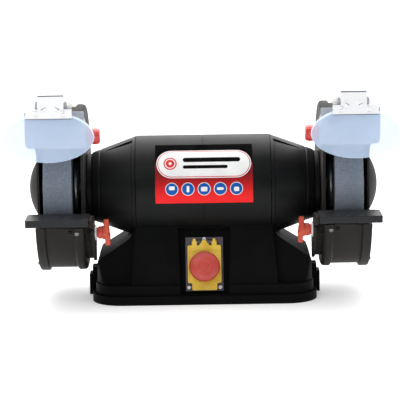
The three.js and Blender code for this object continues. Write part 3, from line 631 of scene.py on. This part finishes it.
# guards
guard = {"inner": 169.0, "wall": 4.0, "bore": 15.0, "bead": 120.5, "beadEnd": 183.0, "shroud": 117.0,
         "shroudIn": 113.5, "shroudEnd": 228.7, "mouthY": -88.0, "mouthZ": -41.0, "bossRadius": 12.0}
cover = {"skirtStart": 224.0, "skirt": 121.0, "skirtIn": 117.3, "face": 235.0, "inside": 232.0,
         "rim": 237.5, "domeRadius": 48.0, "domeTop": 253.0,
         "sheet": 3, "ribIn": 108, "ribOut": 112.5}
studs = {"rest": (-70.0, -55.0), "spark": (-60.0, 82.5)}
pad = {"outer": 105.0, "inner": 74.0, "from": -30.0, "to": -74.0, "start": 160.3, "end": 170.0}


def mouthCutter(side):
    low, back = guard["mouthZ"], guard["mouthY"]
    outline = [(-140, low), (back, low), (back, 130), (-140, 130)]
    return prism("mouthCutter", outline, 150, 262, "x", side)


def rodCutter(side, y, z, radius, x0, x1):
    return solidTurned("rodCutter", [(x0, 0), (x0, radius), (x1, radius), (x1, 0)], y, z, 32, side)


def buildGuard(sideName):
    side = sides[sideName]
    g = guard
    outline = [(g["inner"], g["bore"]), (g["inner"], g["bead"], 7.0), (g["beadEnd"] - 1.5, g["bead"], 3.4),
               (g["beadEnd"] + 0.5, g["shroud"], 1.0), (g["shroudEnd"], g["shroud"], 0.6),
               (g["shroudEnd"], g["shroudIn"], 0.6), (g["inner"] + g["wall"], g["shroudIn"], 2.0),
               (g["inner"] + g["wall"], g["bore"])]
    shell = turned("guardHousing_" + sideName, rounded(outline, 0.0, 5), count=160, side=side)
    carve(shell, mouthCutter(side))
    y, z = studs["rest"]
    start, end, r = pad["start"], pad["end"], g["bossRadius"]
    boss = [(start, 0), (start, 11.2), (161.0, r), (end, r), (end, 0)]
    boss = solidTurned("boss", boss, y, z, 48, side)
    sweep = [pad["from"] + (pad["to"] - pad["from"]) * k / 16 for k in range(17)]
    arc = [(r, math.radians(d)) for r, way in ((pad["outer"], 1), (pad["inner"], -1)) for d in sweep[::way]]
    seatOutline = rounded([(-r * math.cos(a), r * math.sin(a)) for r, a in arc], 1.2)
    seat = prism("seat", seatOutline, start, end, "x", side)
    carve(shell, boss, seat, operation="UNION")
    carve(shell, *[rodCutter(side, py, pz, 4.3, 150, 180) for py, pz in studs.values()])
    settle(shell, "frame", "guard", ["guard_housing_" + sideName], bevel=0.5, angle=40)


def buildCover(sideName):
    side = sides[sideName]
    c = cover
    dome = []
    for inset, foot in ((0, c["face"]), (c["sheet"], c["inside"])):
        top, r = c["domeTop"] - inset, c["domeRadius"] - inset
        rise = top - foot
        ball = (r * r + rise * rise) / (2 * rise)
        steps = [r * k / 12 for k in range(1, 13)]
        dome.append([(top - ball + math.sqrt(ball * ball - q * q), q) for q in steps])
    outer, inner = dome
    ring = rounded([(c["face"], c["domeRadius"] + 0.5), (c["face"], c["ribIn"], 2.5),
                    (c["rim"], c["ribOut"], 2.5), (c["rim"], c["skirt"], 3.4),
                    (c["skirtStart"], c["skirt"], 1.4), (c["skirtStart"], c["skirtIn"], 0.5),
                    (c["inside"], c["skirtIn"]),
                    (c["inside"], c["domeRadius"])], 0.0, 5)
    profile = [(c["domeTop"], 0)] + outer + ring + inner[::-1] + [(c["domeTop"] - c["sheet"], 0)]
    shell = solidTurned("guardCover_" + sideName, profile, 0, 0, 160, side)
    carve(shell, mouthCutter(side))
    settle(shell, "frame", "guard", ["guard_cover_" + sideName], bevel=0.45, angle=40)


for sideName in sides:
    buildGuard(sideName)
    buildCover(sideName)
print("guards built")

# small fixings
screw = {"radius": 4.2, "height": 2.4, "slot": 1.0, "slotDepth": 1.0}


def panHead(name, matrix, body, finish="zinc", slotName="zinc_plate", radius=None, height=None):
    # slotted pan head drawn on +Z and placed by the matrix, in mm
    r, h = radius or screw["radius"], height or screw["height"]
    rows = [(r, 0.0), (r, h * 0.35), (r * 0.93, h * 0.68), (r * 0.75, h * 0.9), (r * 0.45, h)]
    count = 28
    verts, faces = [], []
    for k in range(count):
        a = 2 * math.pi * k / count
        verts += [(q * math.cos(a), q * math.sin(a), w) for q, w in rows]
    size = len(rows)
    for k in range(count):
        n = (k + 1) % count
        faces += [(k * size + i, k * size + i + 1, n * size + i + 1, n * size + i) for i in range(size - 1)]
    faces.append(tuple(k * size for k in range(count)))
    faces.append(tuple(k * size + size - 1 for k in range(count)))
    head = meshObject(name, verts, faces)
    reach, slotHalf = r * 1.1, screw["slot"] * r / 8
    slotOutline = [(-reach, -slotHalf), (reach, -slotHalf), (reach, slotHalf), (-reach, slotHalf)]
    cutter = prism("slotCutter", slotOutline, h - screw["slotDepth"] * r / 4.2, h + 1, "z", z=0)
    carve(head, cutter)
    moved(head, matrix)
    return settle(head, body, finish, bevel=0.12, angle=35)


def placeAt(x, y, z, direction):
    # matrix that stands a head at a point with its axis along a direction
    turn = Vector((0, 0, 1)).rotation_difference(Vector(direction)).to_matrix().to_4x4()
    return Matrix.Translation(Vector((x * mm, y * mm, shaftZ + z * mm))) @ turn


coverScrews = {"angles": (90.0, 210.0, 330.0), "x": 237.4, "radius": 116.2}
shroudBolts = {"across": (179.0, 188.5), "radii": (120.2, 116.8), "angle": 246.0}


def buildCoverScrews(sideName):
    side = sides[sideName]
    for i, degrees in enumerate(coverScrews["angles"]):
        a = math.radians(degrees)
        y, z = math.sin(a), math.cos(a)
        r = coverScrews["radius"]
        place = placeAt(side * coverScrews["x"], y * r, z * r, (side, 0, 0))
        panHead(f"coverScrew_{sideName}_{i}", place, "frame", "guard", "guard_paint", 2.7, 1.7)
    a = math.radians(shroudBolts["angle"])
    y, z = math.sin(a), math.cos(a)
    for i, (x, r) in enumerate(zip(shroudBolts["across"], shroudBolts["radii"])):
        look = ("core", "bright_steel") if i == 0 else ("black", "black_paint")
        place = placeAt(side * x, y * r, z * r, (0, y, z))
        panHead(f"shroudBolt_{sideName}_{i}", place, "frame", *look, radius=3.2, height=2.0)


# wheels and flanges
wheel = {"inner": 186.0, "outer": 226.0, "radius": 100.0, "arris": 1.2, "bore": 8.3}


def buildHead(sideName):
    side = sides[sideName]
    w = wheel
    outline = [(w["inner"], w["bore"]), (w["inner"], w["radius"], w["arris"]),
               (w["outer"], w["radius"], w["arris"]), (w["outer"], w["bore"])]
    stone = turned("grindingWheel_" + sideName, rounded(outline, 0.0), count=180, side=side)
    settle(stone, "rotor", "stone", ["grinding_wheel_" + sideName], angle=35)
    inner = [(178.9, w["bore"]), (178.9, 30, 0.6), (181.9, 39, 1.0), (185.7, 39, 0.4), (185.7, w["bore"])]
    settle(turned("innerFlange_" + sideName, rounded(inner, 0.0), count=96, side=side), "rotor", "steel",
           ["inner_flange_" + sideName], angle=30)
    outer = [(226.3, w["bore"]), (226.3, 39, 0.4), (229.3, 39, 1.0), (231.3, 28, 0.8), (231.3, w["bore"])]
    settle(turned("outerFlange_" + sideName, rounded(outer, 0.0), count=96, side=side), "rotor", "steel",
           ["outer_flange_" + sideName], angle=30)


for sideName in sides:
    buildCoverScrews(sideName)
    buildHead(sideName)
print("wheels built")

# tool rest fixings
wing = {"tip": 133.9, "foot": 152.9, "bore": 4.3, "lobes": ((1, 135.6, 143.0), (-1, 133.9, 141.2))}


def buildRestKnob(sideName):
    side = sides[sideName]
    y, z = studs["rest"]
    tip, foot = wing["tip"], wing["foot"]
    hub = rounded([(tip + 0.7, 0.0), (tip + 0.8, 6.0, 2.0), (137.5, 9.9, 3.0), (143.5, 9.9, 1.6),
                   (144.6, 9.0, 0.8), (foot - 2.4, 9.0, 0.6), (foot - 1.8, 7.6, 0.5), (foot, 7.2, 0.6),
                   (foot, 0.0)], 0.0, 4)
    knob = solidTurned("restKnob_" + sideName, hub, y, z, 64, side)
    lobes = []
    for sign, x0, x1 in wing["lobes"]:
        flare = [(9.0, 2.0), (8.4, 8.0), (5.6, 13.5), (4.6, 18.7)]
        flare += [(-u, v) for u, v in flare[::-1]]
        outline = rounded([(y + u, z + sign * v, 2.8 if v > 10 else 1.6) for u, v in flare], 1.0, 5)
        lobe = prism("lobe", outline, x0, x1, "x", side)
        ease = lobe.modifiers.new("ease", "BEVEL")
        ease.width, ease.segments = 2.2 * mm, 3
        ease.limit_method, ease.angle_limit = "ANGLE", math.radians(50)
        lobes.append(lobe)
    carve(knob, rodCutter(side, y, z, wing["bore"], 144.0, foot + 1.0))
    joined(knob, *lobes)
    settle(knob, "rest_knob_" + sideName, "wingRed", ["rest_knob_" + sideName], bevel=0.5)
    washer = rounded([(153.5, 4.3), (153.5, 10.8, 0.5), (155.7, 10.8, 0.5), (155.7, 4.3)], 0.0)
    settle(turned("restWasher_" + sideName, washer, y, z, 48, side), "frame", "zinc",
           ["rest_washer_" + sideName], angle=30)


# spark guard knob, hinge pin and nut
def buildSparkKnob(sideName):
    side = sides[sideName]
    y, z = studs["spark"]
    outline = [(152, 0.0), (152, 4.3), (164.8, 4.3), (164.8, 10.6, 0.8), (162.4, 11.6, 0.8),
               (150.4, 11.6, 1.0), (149.9, 11.0, 0.3), (149.1, 11.0, 0.3), (148.6, 11.4, 0.4),
               (146.8, 10.6, 1.4), (145.5, 7.5, 1.4), (145.5, 0.0)]
    body = rounded(outline, 0.0, 4)
    knob = solidTurned("sparkKnob_" + sideName, body, y, z, 120, side,
                       {"above": 10.4, "depth": 0.35, "count": 24})
    settle(knob, "spark_knob_" + sideName, "knobRed", ["spark_knob_" + sideName], angle=40)


hinge = {"y": -113.5, "z": 134.0, "tilt": 18.4}


def buildHingeNut(sideName):
    side = sides[sideName]
    outline = rounded([(181.5, 2.8), (181.5, 4.4, 0.3), (183.0, 5.4, 0.4), (187.4, 5.4, 0.4),
                       (189.0, 4.0, 0.3), (189.0, 2.8)], 0.0)
    nut = turned("hingeNut_" + sideName, outline, hinge["y"], hinge["z"], 108, side,
                 {"above": 5.0, "depth": 0.45, "count": 18})
    settle(nut, "hinge_nut_" + sideName, "steel", ["hinge_nut_" + sideName], angle=40)
    profile = [(179.5, 0), (179.5, 2.1), (179.9, 2.5), (232.0, 2.5), (232.0, 4.6), (233.6, 4.6),
               (234.5, 3.9), (234.7, 2.4), (234.7, 0)]
    pin = solidTurned("hingePin_" + sideName, profile, hinge["y"], hinge["z"], 40, side)
    settle(pin, "spark_" + sideName, "zinc", ["hinge_pin_" + sideName], angle=30)


# eye shield
shield = {"centre": 213.0, "half": 63.0, "tall": 35.6, "drop": 46.0, "front": -4.2, "thick": 2.0}


# name, x, height from the hinge line, radius and height of each head on the shield frame
shieldHeads = (("clampScrew", 192.8, -13.2, 3.9, 2.2), ("clampScrew", 231.0, -13.2, 3.9, 2.2),
               ("frameRivet", 201.0, -6.0, 4.8, 1.1), ("frameRivet", 220.0, -6.0, 4.8, 1.1))


def hangMatrix():
    place = Matrix.Translation(Vector((0, hinge["y"] * mm, shaftZ + hinge["z"] * mm)))
    return place @ Matrix.Rotation(-math.radians(hinge["tilt"]), 4, "X")


def shieldFinish():
    # clear polycarbonate with a blue cast and fine scratches, a painted highlight along the rim and a painted
    # bluish glow from emission
    book = Book("clearShield")
    x, z = book.parts(book.place())[::2]
    across = (abs(x) - shield["centre"] * mm) / (shield["half"] * mm)
    scale = math.cos(math.radians(hinge["tilt"]))
    middle = shaftZ + (hinge["z"] - shield["drop"] * scale + shield["front"] * 0.3) * mm
    along = (z - middle) / (shield["tall"] * scale * mm)
    # painted highlight: the rim is lighter and more opaque, standing in for light caught on the edge
    edge = (across * across + along * along).step(0.962, 0.985)
    scratch = book.noise(160.0, 5.0, 0.7, stretch=(1.0, 3.0, 12.0))
    haze = book.noise(28.0, 3.0, 0.5)
    colour = book.blend(edge, tint(0.55, 0.62, 0.74), tint(0.85, 0.89, 0.96))
    alpha = edge * 0.14 + haze.step(0.3, 0.7, 0.44, 0.47)
    rough = scratch.step(0.5, 0.8, 0.08, 0.22)
    # the emission is a painted bluish glow; the lens is no lamp
    return book.finish(Base_Color=colour, Roughness=rough, Alpha=alpha, Emission_Color=tint(0.35, 0.65, 1.0),
                       Emission_Strength=0.22, Specular_IOR_Level=0.5)


finishes["shield"] = shieldFinish()


def framedFinish():
    # bright zinc with painted shade: a dark band under the top edge and another along the lower edge,
    # standing in for the shadows there
    book = Book("shadeBandedZinc")
    turn = math.radians(hinge["tilt"])
    heights = [shaftZ + (hinge["z"] + 6.5 * math.sin(turn) + v * math.cos(turn)) * mm for v in (13.0, -21.0)]
    z = book.parts(book.place())[2]
    grain = book.noise(260.0, 3.0, 0.6, stretch=(1.0, 1.0, 9.0))
    # painted shade bands by height, one at the top edge and one at the lower edge
    topShade = z.step(heights[0] - 0.0024, heights[0] - 0.0018)
    dark = topShade + (z * -1.0).step(-heights[1] - 0.0011, -heights[1] - 0.0007)
    colour = book.blend(grain.step(0.35, 0.75), tint(0.95, 0.955, 0.97), tint(0.87, 0.88, 0.91))
    colour = book.blend(dark * 0.9, colour, tint(0.13, 0.13, 0.17))
    normal = book.bump(grain, 0.08, 0.0002)
    rough = grain.step(0.3, 0.7, 0.32, 0.44)
    return book.finish(Base_Color=colour, Roughness=rough, Metallic=0.12, Normal=normal)


finishes["framed"] = framedFinish()


def buildShield(sideName):
    side = sides[sideName]
    s = shield
    outline = ringOutline(s["centre"], -s["drop"], s["half"], s["tall"], 120)
    lens = prism("eyeShield_" + sideName, outline, s["front"], s["front"] + s["thick"], "y", side, z=0)
    moved(lens, hangMatrix())
    settle(lens, "shield_" + sideName, "shield", ["shield_lens_" + sideName], bevel=0.4)
    for i, (name, x, z, radius, height) in enumerate(shieldHeads):
        place = hangMatrix() @ Matrix.Translation(Vector((side * x, -6.5, z)) * mm)
        turn = Matrix.Rotation(math.radians(90), 4, "X") @ Matrix.Rotation(0.6 + i, 4, "Z")
        # these heads take painted shade on their up- and down-facing faces
        panHead(f"{name}_{sideName}_{i}", place @ turn, "shield_" + sideName, "edged", "zinc_plate",
                radius, height)
    panHead(f"sheetBolt_{sideName}", placeAt(side * 179.0, -107.2, 105.5, (0, -1, 0)),
            "spark_" + sideName, "core", "bright_steel", 5.6, 2.6)


for sideName in sides:
    buildRestKnob(sideName)
    buildSparkKnob(sideName)
    buildHingeNut(sideName)
    buildShield(sideName)
print("rests and shields built")

# stop switch, drawn upright in the panel's plane
panel = {"y": -71.0, "z": 60.0, "run": 34.0, "rise": 96.0}


def panelMatrix():
    tilt = -math.atan2(panel["run"], panel["rise"])
    return Matrix.Translation(Vector((0, panel["y"], panel["z"])) * mm) @ Matrix.Rotation(tilt, 4, "X")


flap = {"half": 24.0, "low": -32.0, "high": 22.5, "front": 3.0, "back": 8.6, "axisY": 5.0, "axisZ": 27.0,
        "hole": 8.5, "boss": -9.5, "tabHalf": 18.0, "tabLow": -42.5, "armX": 14.3}


def buildFlap():
    f = flap
    half, low, high, front = f["half"], f["low"], f["high"], f["front"]
    whole = boxOutline(-half, half, low, high, 2.6)
    plate = prism("switchFlap", whole, front + 0.9, f["back"], "y", z=0)
    inside = boxOutline(-half + 3, half - 3, low + 3, high - 3, 1.5)
    carve(plate, prism("hollow", inside, front + 2.4, f["back"] + 2, "y", z=0))
    carve(plate, prism("rim", whole, front, front + 2.2, "y", z=0), operation="UNION")
    sunk = boxOutline(-half + 2.0, half - 2.0, low + 2.0, high - 8.0, 2.0)
    carve(plate, prism("dish", sunk, front - 1, front + 0.9, "y", z=0))
    # two hinge arms and a low triangular catch between them
    arms = []
    y, z = f["axisY"], f["axisZ"]
    profile = rounded([(y - 2, high - 2), (y - 2, z + 1, 0.8), (y, z + 2.6, 0.8), (y + 2, z + 1, 0.8),
                       (y + 2.6, high - 2)], 0.0)
    for x in (-f["armX"], f["armX"]):
        arms.append(prism("arm", profile, x - 3.5, x + 3.5, "x", z=0))
        rib = rounded([(x - 2.2, high - 5), (x + 2.2, high - 5), (x + 1.9, 32.0, 0.8),
                       (x - 1.9, 32.0, 0.8)], 0.0)
        arms.append(prism("rib", rib, front - 0.2, front + 2.2, "y", z=0))
    peak = rounded([(-8.5, high - 3), (8.5, high - 3), (6.4, high + 1.5, 1.0), (1.8, 30.5, 1.2),
                    (-1.8, 30.5, 1.2), (-6.4, high + 1.5, 1.0)], 0.0)
    arms.append(prism("peak", peak, front + 0.1, front + 2.0, "y", z=0))
    tab = boxOutline(-f["tabHalf"], f["tabHalf"], f["tabLow"], low + 4, 2.6)
    arms.append(prism("tab", tab, front + 0.4, f["back"] - 2.5, "y", z=0))
    carve(plate, *arms, operation="UNION")
    # hole for the mushroom's stem, the latch's channel and the catch's eye
    cuts = [prism("hole", ringOutline(0, f["boss"], f["hole"], f["hole"], 48), -6, 14, "y", z=0)]
    edge, foot = f["tabHalf"] - 3.2, f["tabLow"] + 3.0
    channels = [boxOutline(-edge, edge, foot, foot + 1.6, 0.6)]
    channels += [boxOutline(x - 0.9, x + 0.9, foot, low - 0.5, 0.6) for x in (0.9 - edge, edge - 0.9)]
    cuts += [prism("channel", outline, front - 0.6, front + 1.3, "y", z=0) for outline in channels]
    cuts.append(prism("eye", ringOutline(0, 24.6, 2.0, 1.4, 24), front - 0.6, front + 0.9, "y", z=0))
    carve(plate, *cuts)
    moved(plate, panelMatrix())
    settle(plate, "switch_flap", "yellow", ["switch_flap"], bevel=0.35, angle=40)


mushroom = {"z": -9.5, "radius": 22.0, "crown": -14.0, "under": -3.0, "stem": 8.0, "stemEnd": 4.5}


def buildMushroom():
    m = mushroom
    crown = m["crown"]
    rows = rounded([(crown + 0.9, 0.01), (crown + 0.9, 7.2, 0.5), (crown + 0.2, 7.9, 0.5),
                    (crown, 9.0, 0.8), (crown + 0.4, 14.0, 3.0), (crown + 3.4, m["radius"] - 1.0, 3.0),
                    (m["under"] - 2.5, m["radius"], 2.0), (m["under"], m["radius"] - 1.2, 1.0),
                    (m["under"], m["stem"], 0.6), (m["stemEnd"], m["stem"], 0.6),
                    (m["stemEnd"], 0.01)], 0.0, 5)
    count = 96
    verts, faces = [], []
    for k in range(count):
        a = 2 * math.pi * k / count
        verts += [(r * math.cos(a), y, m["z"] + r * math.sin(a)) for y, r in rows]
    size = len(rows)
    for k in range(count):
        n = (k + 1) % count
        faces += [(k * size + i, k * size + i + 1, n * size + i + 1, n * size + i) for i in range(size - 1)]
    faces += [tuple(k * size for k in range(count)), tuple(k * size + size - 1 for k in range(count))]
    cap = moved(meshObject("stopMushroom", verts, faces), panelMatrix())
    settle(cap, "stop_mushroom", "stopRed", ["stop_mushroom"], angle=40)


plateScrews = ((-22.3, -38.0), (22.3, -38.0), (0.0, 32.2))  # across and up from the plate's middle


def buildSwitchTrim():
    for i, (x, z) in enumerate(plateScrews):
        face = Matrix.Translation(Vector((x, 9.0, z)) * mm) @ Matrix.Rotation(math.radians(90), 4, "X")
        place = panelMatrix() @ face @ Matrix.Rotation(0.4 * i, 4, "Z")
        panHead(f"plateScrew_{i}", place, "frame", radius=2.9, height=1.8)


buildFlap()
buildMushroom()
buildSwitchTrim()
print("switch built")

# nodes carried over from the frame
carried = {
    "base": ("base", 1.4, 3), "base_plate": ("sheet", 0.3, 1), "cable_gland": ("darkPlastic", 0.5, 2),
    "stator": ("core", 0.0, 1), "rotor_core": ("core", 0.0, 1), "shaft": ("steel", 0.3, 2),
    "bearing": ("steel", 0.3, 1), "capacitor": ("darkPlastic", 0.6, 2), "tool_rest": ("rest", 1.1, 3),
    "rest_bracket": ("guard", 0.6, 2), "rest_stud": ("zinc", 0.25, 1), "spark_guard": ("sheet", 0.45, 2),
    "spark_stud": ("zinc", 0.25, 1), "shield_bracket": ("sheet", 0.3, 2), "shield_frame": ("framed", 0.4, 2),
    "lens_backing": ("zinc", 0.4, 2), "wheel_nut": ("steel", 0.7, 2), "switch_body": ("switchGrey", 0.4, 2),
    "flap_pin": ("steel", 0.0, 1), "start_button": ("green", 0.8, 3), "stop_button": ("stopRed", 0.8, 3),
}
for node in nodes:
    stem = node.removesuffix("_left").removesuffix("_right")
    if stem in carried and not nodes[node].hide_render:
        finish, bevel, segments = carried[stem]
        dress(node, finish, bevel, segments)
print("carried nodes dressed")


# floor, light and camera
def buildStage():
    book = Book("paleFloor")
    speck = book.noise(3.0, 4.0, 0.6)
    colour = book.blend(speck, tint(0.76, 0.76, 0.76), tint(0.79, 0.79, 0.79))
    paper = book.finish(Base_Color=colour, Roughness=0.8, Specular_IOR_Level=0.1,
                        Emission_Color=tint(1.0, 1.0, 1.0), Emission_Strength=0.36)
    reach, low = 40000, -0.2
    corners = [(-reach, -reach, low), (reach, -reach, low), (reach, reach, low), (-reach, reach, low)]
    floor = meshObject("floor", corners, [(0, 1, 2, 3)])
    floor.data.materials.append(paper)


sky = {"low": 0.40, "high": 1.75, "front": 0.17, "back": 2.5}


def buildSky():
    # brighter overhead and behind, dimmer on the operator's side
    book = Book("softRoom", world=True)
    bpy.context.scene.world = book.owner
    y, z = book.parts(book.add("ShaderNodeTexCoord"))[1:]
    glow = z.step(0.0, 0.9, sky["low"], sky["high"]) * y.step(-0.6, 0.9, sky["front"], sky["back"])
    ground = book.add("ShaderNodeBackground", values={"Color": tint(1.0, 1.0, 1.0), "Strength": glow})
    book.tree.links.new(ground.socket, book.out.inputs[0])


lamps = {
    "key": {"at": (-1.1, -1.9, 2.0), "size": 1.6, "power": 17.0},
    "fill": {"at": (1.6, -2.2, 0.9), "size": 1.6, "power": 4.0},
    "top": {"at": (0.0, 0.5, 2.4), "size": 1.8, "power": 12.0},
}


def buildLamps():
    for name, lamp in lamps.items():
        data = bpy.data.lights.new(name, "AREA")
        data.shape, data.size, data.energy = "SQUARE", lamp["size"], lamp["power"]
        obj = bpy.data.objects.new(name, data)
        bpy.context.scene.collection.objects.link(obj)
        obj.location = lamp["at"]
        aim = Vector((0, 0, shaftZ)) - obj.location
        obj.rotation_euler = aim.to_track_quat("-Z", "Y").to_euler()


camera = {"distance": 2.8, "elevation": 9.5, "roll": -0.9, "lens": 172.6, "aimX": -0.0051,
          "aimUp": -0.0222}


def buildCamera():
    data = bpy.data.cameras.new("camera")
    data.lens, data.sensor_width = camera["lens"], 36.0
    data.clip_start, data.clip_end = 0.05, 200.0
    obj = bpy.data.objects.new("camera", data)
    bpy.context.scene.collection.objects.link(obj)
    e = math.radians(camera["elevation"])
    centre = Vector((0, 0, shaftZ))
    obj.location = centre + Vector((0, -math.cos(e), math.sin(e))) * camera["distance"]
    up = Vector((0, math.sin(e), math.cos(e)))
    target = centre + Vector((camera["aimX"], 0, 0)) + up * camera["aimUp"]
    look = (target - obj.location).to_track_quat("-Z", "Y").to_matrix().to_4x4()
    obj.rotation_euler = (look @ Matrix.Rotation(math.radians(camera["roll"]), 4, "Z")).to_euler()
    bpy.context.scene.camera = obj


buildStage()
buildSky()
buildLamps()
buildCamera()
bpy.context.scene.view_settings.view_transform = "Standard"
bpy.context.view_layer.update()
